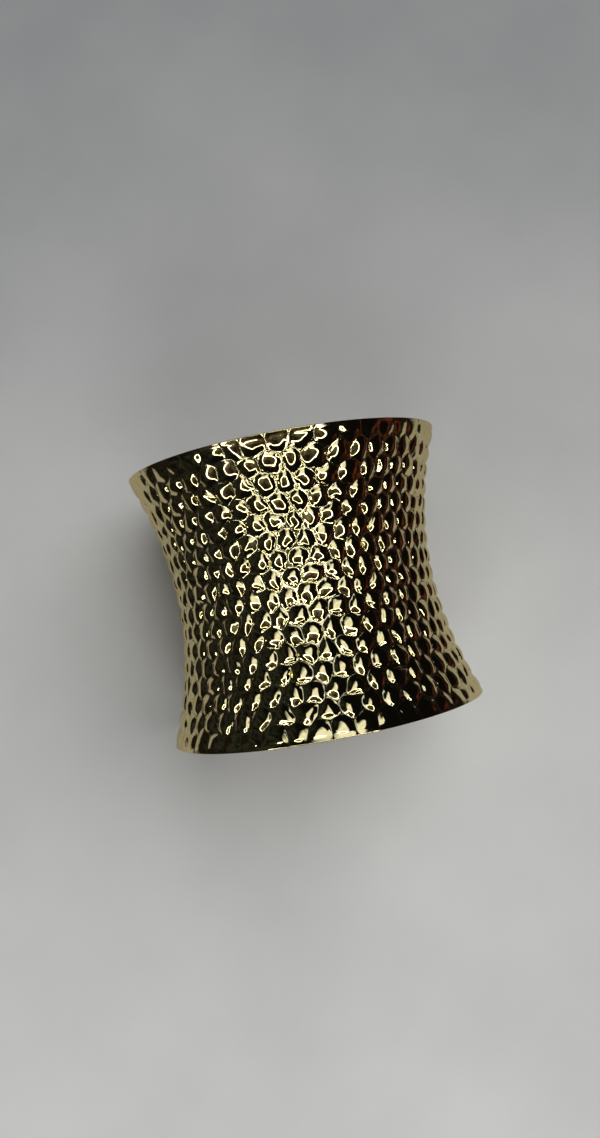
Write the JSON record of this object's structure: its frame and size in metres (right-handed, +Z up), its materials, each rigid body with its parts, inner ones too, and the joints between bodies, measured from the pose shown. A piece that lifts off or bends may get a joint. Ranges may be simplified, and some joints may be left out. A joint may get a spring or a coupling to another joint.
{
  "type": "cuff bangle",
  "caption": "Wide open cuff bangle of hammered sheet brass, flared at both rims and covered in rounded pebbles, worn round the wrist.",
  "frame": {"origin": "on the table, under the middle of the cuff, which rests on the four corners beside its opening", "axes": "+Z up from the opening to the middle of the band, +Y along the wrist from rim to rim, +X across the wrist"},
  "size_m": [0.0666, 0.057, 0.0575],
  "materials": {
    "gold_tone_brass": "gold-tone sheet brass, mirror polished over hammered pebbles, a little duller in the grooves and inside"
  },
  "bodies": {
    "root": {"cuff_band": "gold_tone_brass"}
  },
  "joints": []
}
